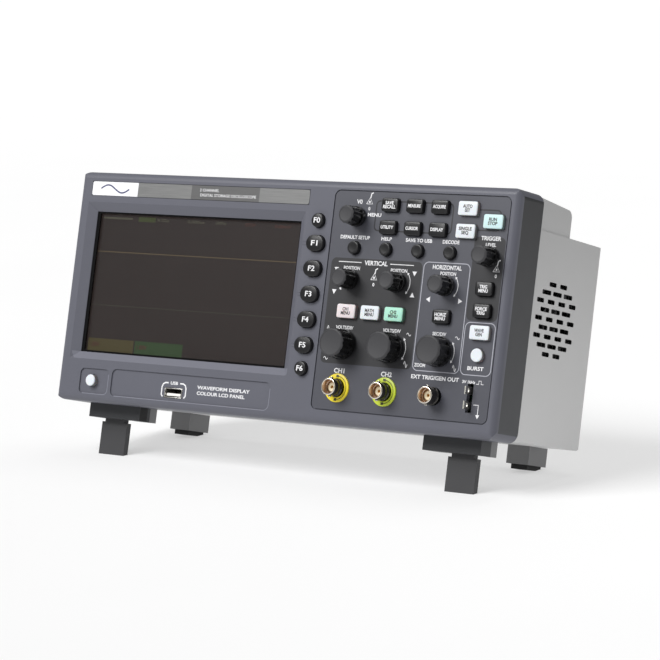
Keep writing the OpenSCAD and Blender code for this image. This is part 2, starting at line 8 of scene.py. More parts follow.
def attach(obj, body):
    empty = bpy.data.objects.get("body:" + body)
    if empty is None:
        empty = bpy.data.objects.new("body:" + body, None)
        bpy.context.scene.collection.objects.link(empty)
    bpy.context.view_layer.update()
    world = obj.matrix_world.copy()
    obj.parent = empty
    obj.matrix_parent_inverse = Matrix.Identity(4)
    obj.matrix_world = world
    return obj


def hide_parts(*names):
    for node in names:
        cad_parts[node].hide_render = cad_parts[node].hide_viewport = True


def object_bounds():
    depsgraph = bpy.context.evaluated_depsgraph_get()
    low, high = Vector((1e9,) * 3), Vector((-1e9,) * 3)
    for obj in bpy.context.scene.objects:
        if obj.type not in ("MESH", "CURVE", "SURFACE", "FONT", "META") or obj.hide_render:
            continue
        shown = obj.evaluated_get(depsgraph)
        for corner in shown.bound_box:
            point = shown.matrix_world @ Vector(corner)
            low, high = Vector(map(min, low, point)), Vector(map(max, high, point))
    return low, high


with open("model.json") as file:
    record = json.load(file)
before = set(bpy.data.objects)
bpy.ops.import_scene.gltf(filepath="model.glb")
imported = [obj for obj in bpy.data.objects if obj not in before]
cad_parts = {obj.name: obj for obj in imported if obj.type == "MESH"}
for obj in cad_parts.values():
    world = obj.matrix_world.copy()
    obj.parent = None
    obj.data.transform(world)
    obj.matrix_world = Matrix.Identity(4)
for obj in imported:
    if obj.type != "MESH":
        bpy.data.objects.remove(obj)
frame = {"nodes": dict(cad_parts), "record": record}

# The bench oscilloscope stands on its flip legs and leans back. Everything is
# laid out in the case's own axes, in millimetres: x to the right, y back from
# the front face, z up from the case bottom. STAND takes them to the frame.
CAD_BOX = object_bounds()
RECORD = frame["record"]
NODES = frame["nodes"]
MM = 0.001

MOUNTS = {m["name"]: m for m in RECORD["mounts"]}
SLOT_OF = {s["node"]: s["material_slot"] for s in RECORD["subparts"]}

# height of the front bezel, from the case bottom to its top edge
BEZEL_TOP = 141.0

out = Vector(MOUNTS["ch1_jack"]["axis"])
TILT = math.atan2(out.z, -out.y)
TURN = Matrix.Rotation(-TILT, 4, "X")


def leaning_corners(node):
    """Lowest and highest corner of a node along the leaning case's axes, in metres."""
    back = TURN.inverted()
    spots = [back @ v.co for v in NODES[node].data.vertices]
    low = Vector([min(p[i] for p in spots) for i in range(3)])
    high = Vector([max(p[i] for p in spots) for i in range(3)])
    return low, high


bezel_low, bezel_high = leaning_corners("front_bezel")
CORNER = Vector((
    (bezel_low.x + bezel_high.x) / 2, bezel_low.y, bezel_high.z - BEZEL_TOP * MM))
STAND = TURN @ Matrix.Translation(CORNER)
CASE_ORIGIN = STAND.translation


def case_box(node):
    """Lowest and highest corner of a node in the case's axes, in millimetres."""
    low, high = leaning_corners(node)
    return (low - CORNER) / MM, (high - CORNER) / MM


def centre_of(node):
    low, high = case_box(node)
    return (low + high) / 2


def mount_spot(name):
    """A mount's place in the case's axes, in millimetres."""
    return STAND.inverted() @ Vector(MOUNTS[name]["pos_m"]) / MM


# --------------------------------------------------------------- shader maths

def srgb(r, g, b):
    """A colour given as it looks on a screen, 0 to 255, as light."""
    def light(c):
        c = c / 255
        return c / 12.92 if c <= 0.04045 else ((c + 0.055) / 1.055) ** 2.4
    return (light(r), light(g), light(b), 1.0)


def dimmed(colour, share):
    """A colour at a share of its brightness, which may be over 1."""
    return tuple(min(1, c * share) for c in colour[:3]) + (1,)


class Value:
    """A socket of a finish that takes plain signs: + - * / and named steps."""

    def __init__(self, finish, socket):
        self.finish = finish
        self.socket = socket

    def step(self, operation, *others, flip=False):
        terms = [self, *others]
        if flip:
            terms.reverse()
        return self.finish.node(
            "ShaderNodeMath", {"operation": operation}, dict(enumerate(terms)))

    def __add__(self, other):
        return self.step("ADD", other)

    def __sub__(self, other):
        return self.step("SUBTRACT", other)

    def __rsub__(self, other):
        return self.step("SUBTRACT", other, flip=True)

    def __mul__(self, other):
        return self.step("MULTIPLY", other)

    def __truediv__(self, other):
        return self.step("DIVIDE", other)

    def __rtruediv__(self, other):
        return self.step("DIVIDE", other, flip=True)

    def __pow__(self, other):
        return self.step("POWER", other)

    def __abs__(self):
        return self.step("ABSOLUTE")

    def __lt__(self, other):
        return self.step("LESS_THAN", other)

    def __gt__(self, other):
        return self.step("GREATER_THAN", other)

    def top(self, other):
        return self.step("MAXIMUM", other)

    def low(self, other):
        return self.step("MINIMUM", other)

    def root(self):
        return self.step("SQRT")

    def between(self, a, b):
        return (self > a) * (self < b)

    def repeat(self, pitch):
        """Distance to the nearest multiple of pitch."""
        return abs((self / pitch + 0.5).step("FRACT") - 0.5) * pitch


class Finish:
    """A material, with the case's axes in millimetres as its coordinates."""

    def __init__(self, name, **constants):
        self.material = bpy.data.materials.new(name)
        self.material.use_nodes = True
        self.tree = self.material.node_tree
        self.shader = self.tree.nodes["Principled BSDF"]
        for key, value in constants.items():
            self.shader.inputs[key.replace("_", " ")].default_value = value
        spot = self.node("ShaderNodeTexCoord", {}, {}, out="Object")
        self.place = self.node(
            "ShaderNodeMapping", {"vector_type": "TEXTURE"},
            {"Vector": spot, "Location": CASE_ORIGIN, "Rotation": (-TILT, 0, 0),
             "Scale": (MM, MM, MM)})
        self.x = self.node("ShaderNodeSeparateXYZ", {}, {0: self.place})
        self.y = Value(self, self.x.socket.node.outputs[1])
        self.z = Value(self, self.x.socket.node.outputs[2])

    def node(self, kind, settings, sockets, out=0):
        made = self.tree.nodes.new(kind)
        for key, value in settings.items():
            setattr(made, key, value)
        for key, value in sockets.items():
            if isinstance(value, Value):
                self.tree.links.new(value.socket, made.inputs[key])
            else:
                made.inputs[key].default_value = value
        return Value(self, made.outputs[out])

    def feed(self, name, value):
        self.tree.links.new(value.socket, self.shader.inputs[name])

    def mix(self, share, first, second):
        """first where share is 0 and second where it is 1, as colours."""
        return self.node("ShaderNodeMix", {"data_type": "RGBA"},
                         {0: share, 6: first, 7: second}, out=2)

    def noise(self, scale, detail=2.0, stretch=(1, 1, 1)):
        spot = self.node("ShaderNodeVectorMath", {"operation": "MULTIPLY"},
                         {0: self.place, 1: stretch})
        return self.node("ShaderNodeTexNoise", {},
                         {"Vector": spot, "Scale": scale, "Detail": detail})

    def grain(self, size, depth, extra=None):
        """Fine moulded grain: bumps about size millimetres across."""
        height = self.noise(1 / size, 1.0) * depth
        if extra is not None:
            height = height + extra
        self.feed("Normal", self.node(
            "ShaderNodeBump", {}, {"Height": height, "Distance": MM, "Strength": 1.0}))

    def box_distance(self, x0, x1, z0, z1, r):
        """Distance outside a rounded rectangle seen from the front, less than 0 inside."""
        dx = abs(self.x - (x0 + x1) / 2) - ((x1 - x0) / 2 - r)
        dz = abs(self.z - (z0 + z1) / 2) - ((z1 - z0) / 2 - r)
        px, pz = dx.top(0), dz.top(0)
        return (px * px + pz * pz).root() + dx.top(dz).low(0) - r

    def rough(self, base, scale=0.12):
        """Roughness that wanders a little about base."""
        swing = 0.05
        self.feed("Roughness", self.noise(scale, 3.0) * (2 * swing) + (base - swing))


def plastic(name, colour, rough, grain_size=0.35, grain_depth=0.012):
    """Moulded plastic: slight shade drift, fine grain and uneven gloss."""
    f = Finish(name)
    drift = f.noise(0.03, 3.0)
    f.feed("Base Color", f.mix(drift, dimmed(colour, 0.93), dimmed(colour, 1.07)))
    f.rough(rough)
    f.grain(grain_size, grain_depth)
    return f.material


def metal(name, colour, rough, scratch=0.3, stretch=(1, 1, 1)):
    """Plated metal with faint wear marks."""
    f = Finish(name, Metallic=1.0)
    wear = f.noise(scratch, 4.0, stretch)
    f.feed("Base Color", f.mix(wear, dimmed(colour, 0.86), colour))
    f.feed("Roughness", wear * 0.16 + (rough - 0.08))
    f.grain(0.6, 0.004)
    return f.material


# ------------------------------------------------------------------ finishes

SHEET_LOW, SHEET_HIGH = case_box("control_sheet")
CAP_PREFIX, KNOB_PREFIX = len("button_"), len("knob_")
KNOB = {n[KNOB_PREFIX:]: centre_of(n) for n in NODES if n.startswith("knob_")}
CAP = {n[CAP_PREFIX:]: centre_of(n) for n in NODES if n.startswith("button_")}

# the dark and outlined fields of the control sheet: x0, x1, z0, z1
VERTICAL = (SHEET_LOW.x + 2.4, KNOB["ch2_volts"].x + 15.4, 35.3, 96.5)
HORIZONTAL = (VERTICAL[1] + 1.0, VERTICAL[1] + 32.0, 35.2, 96.8)
TRIGGER = (HORIZONTAL[1] + 0.8, SHEET_HIGH.x - 0.5, 65.4, 112.6)
GENERATOR = (TRIGGER[0] + 0.3, SHEET_HIGH.x - 0.9, 35.0, 64.4)
FIELD_R = 3.2

# the bezel's opening for the window, and the black print inside its left edge
VIEW_LOW = Vector((-145.4, 0, 30.2))
VIEW_HIGH = Vector((9.4, 0, 116.8))
BORDER = 2.2
# the display's grid, traces and channel boxes, from its lower left corner
GRID = (10.4, 8.9)
UPPER_TRACE, LOWER_TRACE = 62.4, 29.5
CHANNEL_BOXES = ((0.8, 36.4), (37.4, 74.2))
CHANNEL_ROW = (1.2, 9.0)
# the nameplate's white field and dull middle, from its left end
PLATE_WHITE = 35.8
PLATE_DULL = (77, 128)
# black painted shade on the inner sides of the bezel's foot blocks, in the slot where the leg
# sits
SLOT_SHADE_X = 103.8
SLOT_SHADE_Y = (15.3, 22.4)
# the host socket's tongue, up from the socket's lower edge
TONGUE_Z = (1.1, 2.7)
# shallow fields round the power cap and the host socket: x0, x1, z0, z1
POWER_RECESS = (-141.3, -119.0, 4.8, 20.2)
HOST_RECESS = (-116.6, 3.0, 4.6, 21.1)

BEZEL_SHADE = srgb(96, 97, 106)
# painted shade for the bezel's foot blocks under the case, whose front faces lie in shadow
FOOT_PAINTED_SHADE = srgb(60, 61, 63)
FIELD_SHADE = srgb(37, 37, 40)
HOUSING_SHADE = srgb(210, 210, 210)


def bezel_finish():
    """Moulded blue-grey bezel with painted light and shade: its sides darker towards the top, a
    painted highlight on the sloped edge below the window, and painted shade on its foot blocks
    under the case, black in the leg slot on their inner sides.
    """
    f = Finish("bezel_plastic", Specular_IOR_Level=0.3)
    drift = f.noise(0.03, 3.0)
    shade = f.mix(drift, dimmed(BEZEL_SHADE, 0.94), BEZEL_SHADE)
    # painted shade: the bezel's sides are darker towards the top
    side = (abs(f.x) > bezel_high.x / MM - 0.3) * (f.y > 4)
    shade = f.mix(side, shade, f.mix(f.z / BEZEL_TOP, srgb(66, 67, 70), srgb(34, 35, 37)))
    view = f.box_distance(VIEW_LOW.x, VIEW_HIGH.x, VIEW_LOW.z, VIEW_HIGH.z, 0.5)
    # painted highlight on the sloped edge below the window, which faces up to the lamps
    lit_slope = view.between(0, 5.2) * (f.z < VIEW_LOW.z) * (f.y > 0.02)
    shade = f.mix(lit_slope, shade, srgb(112, 113, 123))
    # painted shade on the foot blocks below the case bottom
    shade = f.mix(f.z < -0.05, shade, FOOT_PAINTED_SHADE)
    # painted shade: black in the leg slot on the foot blocks' inner sides
    slot_shade = (abs(f.x) < SLOT_SHADE_X) * (f.z < -0.05) * f.y.between(*SLOT_SHADE_Y)
    f.feed("Base Color", f.mix(slot_shade, shade, srgb(12, 12, 14)))
    f.rough(0.4)
    f.grain(0.35, 0.01)
    return f.material


def housing_finish():
    """Pale moulded shell with painted shade: black on the walls of its side slots, darker
    towards the top and under the case bottom.
    """
    f = Finish("housing_plastic")
    fan = centre_of("fan_frame")
    shell_x = case_box("rear_housing")[1].x
    # painted shade: black on the walls of the side slots by the fan
    slots = (abs(f.x) < shell_x - 0.2) * (abs(f.x) > shell_x - 2.3)
    slots = slots * (abs(f.y - fan.y) < 28) * (abs(f.z - fan.z) < 24)
    # painted shade: the shell darkens towards the top
    shade = f.mix(f.z / BEZEL_TOP + f.noise(0.03, 3.0) * 0.1, HOUSING_SHADE,
                  srgb(172, 172, 172))
    # painted shade on the rear feet under the case
    shade = f.mix(f.z < 1.7, shade, srgb(118, 118, 119))
    f.feed("Base Color", f.mix(slots, shade, srgb(14, 14, 15)))
    f.rough(0.55)
    f.grain(0.45, 0.02)
    return f.material


def sheet_finish():
    """The control sheet: dark fields, light outlines and dark lines between keys."""
    f = Finish("sheet_plastic")
    dark = (f.box_distance(*VERTICAL, FIELD_R) < 0).top(
        f.box_distance(*TRIGGER, FIELD_R) < 0)
    line = (abs(f.box_distance(*HORIZONTAL, FIELD_R)) < 0.22).top(
        abs(f.box_distance(*GENERATOR, FIELD_R)) < 0.22)
    keys = (CAP["save_recall"].x - 10.6, CAP["acquire"].x + 7.9,
            CAP["utility"].z - 1.9, CAP["measure"].z + 2.3)
    run = (CAP["auto_set"].x, CAP["run_stop"].x + 3.4,
           CAP["single"].z + 1.1, CAP["auto_set"].z - 0.3)
    links = (abs(f.box_distance(*keys, 2.5)) < 0.4).top(
        (abs(f.box_distance(*run, 2.5)) < 0.4) * (f.x > CAP["auto_set"].x + 4))
    shade = f.mix(f.noise(0.03, 3.0), srgb(70, 71, 79), srgb(76, 77, 85))
    shade = f.mix(dark, shade, FIELD_SHADE)
    shade = f.mix(links, shade, srgb(32, 32, 36))
    shade = f.mix(line, shade, srgb(176, 177, 186))
    f.feed("Base Color", shade)
    f.feed("Roughness", f.noise(0.4, 2.0) * 0.08 + 0.36 + dark * 0.08)
    f.grain(0.3, 0.008)
    return f.material


def nameplate_finish():
    """Brushed foil, duller in the middle, with a white field at its left end."""
    left = case_box("nameplate")[0].x
    f = Finish("nameplate_foil")
    white = f.x < left + PLATE_WHITE
    brushed = f.noise(2.0, 3.0, (0.03, 1, 1))
    foil = f.mix(brushed, srgb(112, 113, 113), srgb(136, 136, 135))
    foil = f.mix((f.x - left).between(*PLATE_DULL), foil, srgb(98, 98, 98))
    f.feed("Base Color", f.mix(white, foil, srgb(233, 233, 236)))
    f.feed("Metallic", (1 - white) * 0.45)
    f.feed("Roughness", brushed * 0.12 + 0.34)
    f.grain(0.4, 0.005)
    return f.material


def window_finish():
    """Hard clear window with a black border printed behind it."""
    f = Finish("window_plastic", Specular_IOR_Level=0.25)
    inner = f.box_distance(VIEW_LOW.x + BORDER, VIEW_HIGH.x - 0.7, VIEW_LOW.z + 1.2,
                           VIEW_HIGH.z - 1.0, 0.8)
    border = inner > 0
    shade = f.mix(border, srgb(24, 18, 16), srgb(9, 9, 10))
    f.feed("Base Color", shade)
    f.feed("Alpha", border * 0.82 + 0.18)
    f.feed("Roughness", f.noise(0.08, 2.0) * 0.06 + 0.14)
    return f.material


def screen_finish():
    """The display: a dim grid, two flat traces and two boxes for the channels."""
    f = Finish("screen", Emission_Strength=1.0)
    u = f.x - (VIEW_LOW.x + BORDER)
    v = f.z - VIEW_LOW.z
    inside = v.between(8.5, 79.5)
    lines = (u.repeat(GRID[0]) < 0.2).top((v + 3.2).repeat(GRID[1]) < 0.2) * inside
    upper = abs(v - UPPER_TRACE) < 0.28
    lower = abs(v - LOWER_TRACE) < 0.2
    shade = f.mix(f.noise(0.02, 2.0), srgb(52, 44, 42), srgb(58, 49, 47))
    shade = f.mix(lines * 0.12, shade, srgb(104, 98, 92))
    shade = f.mix(upper * 0.8, shade, srgb(128, 112, 84))
    shade = f.mix(lower * 0.55, shade, srgb(96, 100, 84))
    row = v.between(*CHANNEL_ROW)
    for ends, hue in zip(CHANNEL_BOXES, (srgb(92, 84, 52), srgb(62, 88, 54))):
        shade = f.mix(u.between(*ends) * row, shade, hue)
    f.feed("Base Color", f.mix(0.8, shade, (0.002, 0.002, 0.002, 1)))
    f.feed("Emission Color", f.mix(0.42, shade, (0, 0, 0, 1)))
    f.feed("Roughness", f.noise(0.05, 2.0) * 0.05 + 0.42)
    return f.material


def board_finish():
    """Circuit board with dark switch bodies, bright shafts and a bright rear socket."""
    f = Finish("circuit_board")
    board_back = case_box("front_board")[1].y
    bright = f.y < 4.6
    body = f.y.between(4.6, board_back - 1.7)
    shade = f.mix(f.noise(0.25, 4.0), srgb(20, 66, 44), srgb(34, 88, 58))
    shade = f.mix(body * (f.y < 12), shade, srgb(26, 26, 28))
    rear_socket = f.x.between(55.5, 68.5) * (f.y > 81.5) * (f.z > 11.2)
    bright = bright.top(rear_socket)
    f.feed("Base Color", f.mix(bright, shade, srgb(206, 204, 196)))
    f.feed("Metallic", bright)
    f.feed("Roughness", f.noise(0.5, 2.0) * 0.1 + 0.3)
    f.grain(0.5, 0.01)
    return f.material


def supply_finish():
    """Power board with its dark mains inlet at the back."""
    inlet_deep = 22
    f = Finish("supply_board")
    inlet = f.y > case_box("power_supply")[1].y - inlet_deep
    shade = f.mix(f.noise(0.2, 4.0), srgb(122, 92, 44), srgb(150, 116, 62))
    f.feed("Base Color", f.mix(inlet, shade, srgb(30, 30, 32)))
    f.feed("Roughness", f.noise(0.5, 2.0) * 0.12 + 0.4)
    f.grain(0.5, 0.01)
    return f.material


def ring_finish():
    """Bright ring round a jack, with two curved slots painted in shade, one hue for each
    channel.
    """
    f = Finish("ring_plastic")
    first = mount_spot("ch1_jack").x
    second = mount_spot("ch2_jack").x
    mine = f.x < (first + second) / 2
    px = f.mix(mine, (second, 0, 0, 1), (first, 0, 0, 1))
    jack_x = f.node("ShaderNodeSeparateColor", {}, {0: px})
    jack_z = centre_of("bnc_rings").z
    dx = f.x - jack_x
    dz = f.z - jack_z
    reach = (dx * dx + dz * dz).root()
    slot = (reach.between(6.5, 6.9) * (dx > 0)).top(
        reach.between(6.0, 7.5) * (abs(dx) < 0.9))
    hue = f.mix(mine, srgb(186, 206, 44), srgb(238, 214, 30))
    tint = f.mix(f.noise(0.5, 2.0) * 0.2, hue, srgb(250, 240, 120))
    # painted shade: the slots are painted dark, and the bump below sinks them
    f.feed("Base Color", f.mix(slot, tint, srgb(60, 58, 24)))
    f.feed("Roughness", f.noise(0.5, 2.0) * 0.1 + 0.3)
    f.grain(0.5, 0.006, slot * -0.05)
    return f.material


def jack_finish():
    """Plated barrel: painted dark reflection near the panel, a painted highlight round its front
    edge, bright lugs and a warm bore.
    """
    f = Finish("jack_nickel", Metallic=1.0)
    tip = case_box("bnc_connectors")[0].y
    gaps = []
    for jack in ("ch1", "ch2", "ext"):
        spot = mount_spot(jack + "_jack")
        dx, dz = f.x - spot.x, f.z - spot.z
        gaps.append((dx * dx + dz * dz).root())
    reach = gaps[0].low(gaps[1]).low(gaps[2])
    wear = f.noise(0.4, 3.0)
    shade = f.mix(wear, srgb(84, 82, 80), srgb(112, 109, 106))
    # painted dark reflection on the barrel's base near the panel
    shade = f.mix(f.y > -2.2, shade, srgb(34, 34, 36))
    shade = f.mix(reach > 5.25, shade, srgb(214, 210, 202))
    # painted highlight round the barrel's front edge
    shade = f.mix(f.y < tip + 0.35, shade, srgb(236, 228, 216))
    shade = f.mix((reach < 4.35) * (f.y > tip + 0.15), shade, srgb(238, 212, 190))
    f.feed("Base Color", shade)
    f.feed("Roughness", wear * 0.14 + 0.16)
    f.grain(0.6, 0.003)
    return f.material


def socket_finish():
    """Plated host socket shell with painted shade inside its mouth, and a white tongue low in
    it.
    """
    low, high = case_box("usb_host_socket")
    f = Finish("socket_steel")
    # painted shade inside the socket's mouth
    inside = f.x.between(low.x + 0.4, high.x - 0.4) * f.z.between(low.z + 0.4, high.z - 0.4)
    inside = inside * (f.y > low.y + 0.2)
    tongue = f.x.between(low.x + 1.4, high.x - 1.4) * f.z.between(
        low.z + TONGUE_Z[0] - 0.05, low.z + TONGUE_Z[1] + 0.05) * inside
    shade = f.mix(inside, srgb(214, 212, 208), srgb(30, 28, 28))
    f.feed("Base Color", f.mix(tongue, shade, srgb(240, 238, 234)))
    f.feed("Metallic", 1 - inside)
    f.feed("Roughness", f.noise(0.6, 2.0) * 0.14 + 0.22 + tongue * 0.15)
    return f.material


def knob_finish():
    """Black sides with a soft sheen, a matt front face painted lighter grey, partly as painted
    light, and a painted highlight on its front edge.
    """
    f = Finish("knob_rubber")
    wear = f.noise(0.7, 3.0)
    depth = f.y - case_box("knob_menu")[0].y
    face = depth < 0.8
    rim_highlight = depth.between(0.04, 0.8)
    shade = f.mix(wear, srgb(9, 9, 10), srgb(17, 17, 18))
    # painted light: the matt front face is painted lighter grey, partly as lit from the front,
    # and its front edge carries a painted highlight
    shade = f.mix(face, shade, srgb(36, 36, 38))
    f.feed("Base Color", f.mix(rim_highlight, shade, srgb(50, 50, 53)))
    f.feed("Roughness", wear * 0.08 + 0.2 + face * 0.3)
    f.grain(0.25, 0.0015)
    return f.material


def lamp_cap(name, colour, glow):
    """Translucent cap lit faintly from behind, with its sides in painted shade."""
    f = Finish(name, Emission_Strength=glow, Subsurface_Weight=0.15)
    cloud = f.noise(0.25, 2.0)
    shade = f.mix(cloud, dimmed(colour, 0.93), colour)
    # painted shade on the cap's sides behind its front
    side = f.y > case_box("button_auto_set")[0].y + 0.62
    shade = f.mix(side, shade, dimmed(colour, 0.2))
    f.feed("Base Color", shade)
    f.feed("Emission Color", shade)
    f.feed("Roughness", f.noise(0.6, 2.0) * 0.1 + 0.32)
    f.grain(0.3, 0.006)
    return f.material


def ink(name, colour):
    """Printed ink, slightly uneven."""
    f = Finish(name)
    f.feed("Base Color", f.mix(f.noise(0.8, 3.0) * 0.6, colour, dimmed(colour, 0.82)))
    f.rough(0.45, 0.5)
    return f.material


FINISHES = {
    "bezel_plastic": bezel_finish(),
    "housing_plastic": housing_finish(),
    "nameplate_foil": nameplate_finish(),
    "sheet_plastic": sheet_finish(),
    "window_plastic": window_finish(),
    "screen": screen_finish(),
    "circuit_board": board_finish(),
    "supply_board": supply_finish(),
    "fan_plastic": plastic("fan_plastic", srgb(28, 28, 30), 0.4),
    "nickel": metal("nickel", srgb(214, 206, 194), 0.2),
    "ring_plastic": ring_finish(),
    "socket_steel": socket_finish(),
    "pad_rubber": plastic("pad_rubber", srgb(26, 26, 27), 0.75, 0.5, 0.03),
    "screw_steel": metal("screw_steel", srgb(150, 150, 154), 0.34),
    "leg_plastic": plastic("leg_plastic", srgb(56, 56, 58), 0.5),
    "dark_cap": plastic("dark_cap", srgb(18, 18, 20), 0.3, 0.3, 0.006),
    "lit_cap": lamp_cap("lit_cap", srgb(220, 220, 224), 0.13),
    "red_lit_cap": lamp_cap("red_lit_cap", srgb(224, 208, 210), 0.13),
    "green_lit_cap": lamp_cap("green_lit_cap", srgb(164, 216, 194), 0.12),
    "cyan_lit_cap": lamp_cap("cyan_lit_cap", srgb(200, 224, 224), 0.13),
    "knob_rubber": knob_finish(),
    "shaft_steel": metal("shaft_steel", srgb(176, 176, 178), 0.3, 0.5, (1, 0.1, 1)),
}

WHITE_INK = ink("white_ink", srgb(236, 236, 238))
DARK_INK = ink("dark_ink", srgb(40, 41, 46))
NAVY_INK = ink("navy_ink", srgb(58, 62, 104))
DIM_INK = ink("dim_readout", srgb(92, 90, 76))
GREEN_INK = ink("green_readout", srgb(74, 84, 46))
RED_INK = ink("red_readout", srgb(92, 56, 50))
INSULATOR = plastic("insulator_resin", srgb(236, 226, 196), 0.35, 0.4, 0.006)
JACK = jack_finish()
CONTACT = metal("contact_gold", srgb(214, 168, 92), 0.25)

for node, obj in NODES.items():
    for place in obj.material_slots:
        place.material = FINISHES[SLOT_OF[node]]


# ------------------------------------------------------------ modelling steps

def take(obj):
    """Makes obj the only selected object."""
    bpy.ops.object.select_all(action="DESELECT")
    obj.hide_set(False)
    obj.select_set(True)
    bpy.context.view_layer.objects.active = obj


def edit(obj, kind="EDGE"):
    take(obj)
    bpy.ops.object.mode_set(mode="EDIT")
    bpy.ops.mesh.select_mode(type=kind)


def leave():
    bpy.ops.object.mode_set(mode="OBJECT")


def pick(obj, edge=None, face=None):
    """Selects only the edges or faces that a test on their middle and normal picks."""
    mesh = obj.data
    for part in (mesh.vertices, mesh.edges, mesh.polygons):
        part.foreach_set("select", [False] * len(part))
    if edge:
        for e in mesh.edges:
            e.select = edge([mesh.vertices[i].co for i in e.vertices])
    if face:
        for p in mesh.polygons:
            p.select = face(p)
    edit(obj, "EDGE" if edge else "FACE")


# corners closer than this are one corner, and spots this near a plane lie in it
WELD = 2e-6
FLUSH = 1e-5


def clean(obj):
    edit(obj, "VERT")
    bpy.ops.mesh.select_all(action="SELECT")
    bpy.ops.mesh.remove_doubles(threshold=WELD)
    bpy.ops.mesh.normals_make_consistent(inside=False)
    leave()


def copy_of(node, name):
    """A joined copy of a CAD node, in the case's axes, with flat faces made whole."""
    piece = bpy.data.objects.new(name, NODES[node].data.copy())
    bpy.context.scene.collection.objects.link(piece)
    piece.data.transform(STAND.inverted())
    take(piece)
    bpy.ops.mesh.customdata_custom_splitnormals_clear()
    edit(piece, "VERT")
    bpy.ops.mesh.select_all(action="SELECT")
    bpy.ops.mesh.remove_doubles(threshold=WELD)
    bpy.ops.mesh.dissolve_limited(angle_limit=math.radians(0.6))
    leave()
    return piece


def settle(piece, body, material, smooth=35):
    """Stands a finished piece with the case and gives it its body and finish."""
    take(piece)
    bpy.ops.object.transform_apply(location=True, rotation=True, scale=True)
    if smooth:
        bpy.ops.object.shade_smooth_by_angle(angle=math.radians(smooth))
    piece.matrix_world = STAND
    bpy.ops.object.transform_apply(location=True, rotation=True, scale=True)
    if material is not None:
        piece.data.materials.clear()
        piece.data.materials.append(material)
    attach(piece, body)
    return piece


def join(pieces, name):
    bpy.ops.object.select_all(action="DESELECT")
    for p in pieces:
        p.select_set(True)
    bpy.context.view_layer.objects.active = pieces[0]
    if len(pieces) > 1:
        bpy.ops.object.join()
    pieces[0].name = name
    pieces[0].data.name = name
    return pieces[0]


def path(points):
    """A line of edges through points given in millimetres."""
    points = [Vector(p) * MM for p in points]
    bpy.ops.object.select_all(action="DESELECT")
    bpy.ops.mesh.primitive_plane_add(size=MM)
    line = bpy.context.object
    edit(line, "VERT")
    bpy.ops.mesh.select_all(action="SELECT")
    bpy.ops.mesh.merge(type="CENTER")
    bpy.ops.transform.translate(value=points[0])
    for before, after in zip(points, points[1:]):
        bpy.ops.mesh.extrude_region_move(
            TRANSFORM_OT_translate={"value": after - before})
    leave()
    return line


def lathe(profile, steps=48):
    """Turns a profile of (radius, y) points round the y axis."""
    turned = path([(r, y, 0) for r, y in profile])
    edit(turned, "VERT")
    bpy.ops.mesh.select_all(action="SELECT")
    bpy.ops.mesh.spin(steps=steps, angle=2 * math.pi, center=(0, 0, 0), axis=(0, 1, 0))
    leave()
    clean(turned)
    return turned


def moved(obj, x, y, z):
    take(obj)
    obj.location = Vector((x, y, z)) * MM
    bpy.ops.object.transform_apply(location=True, rotation=True, scale=True)
    return obj


def twin(obj):
    """A copy with its own mesh."""
    other = bpy.data.objects.new(obj.name, obj.data.copy())
    bpy.context.scene.collection.objects.link(other)
    return other


INK_T = 0.03


def words(text, x, y, z, tall, wide=None, bold=0.028):
    """Raised print: capitals tall millimetres high, drawn out to wide if given."""
    bpy.ops.object.select_all(action="DESELECT")
    bpy.ops.object.text_add()
    piece = bpy.context.object
    font = piece.data
    font.body = text
    font.size = tall / 0.7 * MM
    font.align_x = "CENTER"
    font.align_y = "CENTER"
    font.resolution_u = 3
    font.offset = bold * font.size
    font.extrude = INK_T * MM
    font.space_line = 0.86
    bpy.ops.object.convert(target="MESH")
    if wide:
        spots = [v.co.x for v in piece.data.vertices]
        piece.scale.x = wide * MM / (max(spots) - min(spots))
        bpy.ops.object.transform_apply(scale=True)
    spots = [v.co for v in piece.data.vertices]
    for axis in (0, 1):
        middle = (max(s[axis] for s in spots) + min(s[axis] for s in spots)) / 2
        piece.location[axis] = -middle
    bpy.ops.object.transform_apply(location=True)
    piece.rotation_euler.x = math.pi / 2
    bpy.ops.object.transform_apply(rotation=True)
    return moved(piece, x, y, z)


def stroke(points, y, width):
    """A printed line through (x, z) points."""
    line = path([(x, 0, z) for x, z in points])
    take(line)
    bpy.ops.object.convert(target="CURVE")
    line.data.bevel_depth = width / 2 * MM
    line.data.bevel_resolution = 1
    line.data.use_fill_caps = True
    bpy.ops.object.convert(target="MESH")
    line.scale.y = 2 * INK_T / width
    bpy.ops.object.transform_apply(scale=True)
    return moved(line, 0, y, 0)


def arc(centre, radius, start, stop, count=9):
    """Points (x, z) on an arc, angles in degrees from the right, turning upward."""
    turns = [start + (stop - start) * i / (count - 1) for i in range(count)]
    return [(centre.x + radius * math.cos(math.radians(a)),
             centre.z + radius * math.sin(math.radians(a))) for a in turns]


def wave(x, z, wide, tall, count=11):
    steps = [i / (count - 1) for i in range(count)]
    return [(x + (s - 0.5) * wide, z + math.sin(2 * math.pi * s) * tall / 2)
            for s in steps]


def pointer(x, y, z, size, angle):
    """A filled triangle whose tip points at angle degrees from the right."""
    bpy.ops.object.select_all(action="DESELECT")
    bpy.ops.mesh.primitive_cylinder_add(
        vertices=3, radius=size * MM, depth=2 * INK_T * MM)
    piece = bpy.context.object
    spin = math.radians(angle) - math.pi / 2
    piece.data.transform(Matrix.Rotation(spin, 4, "Z"))
    piece.data.transform(Matrix.Rotation(math.pi / 2, 4, "X"))
    return moved(piece, x, y, z)


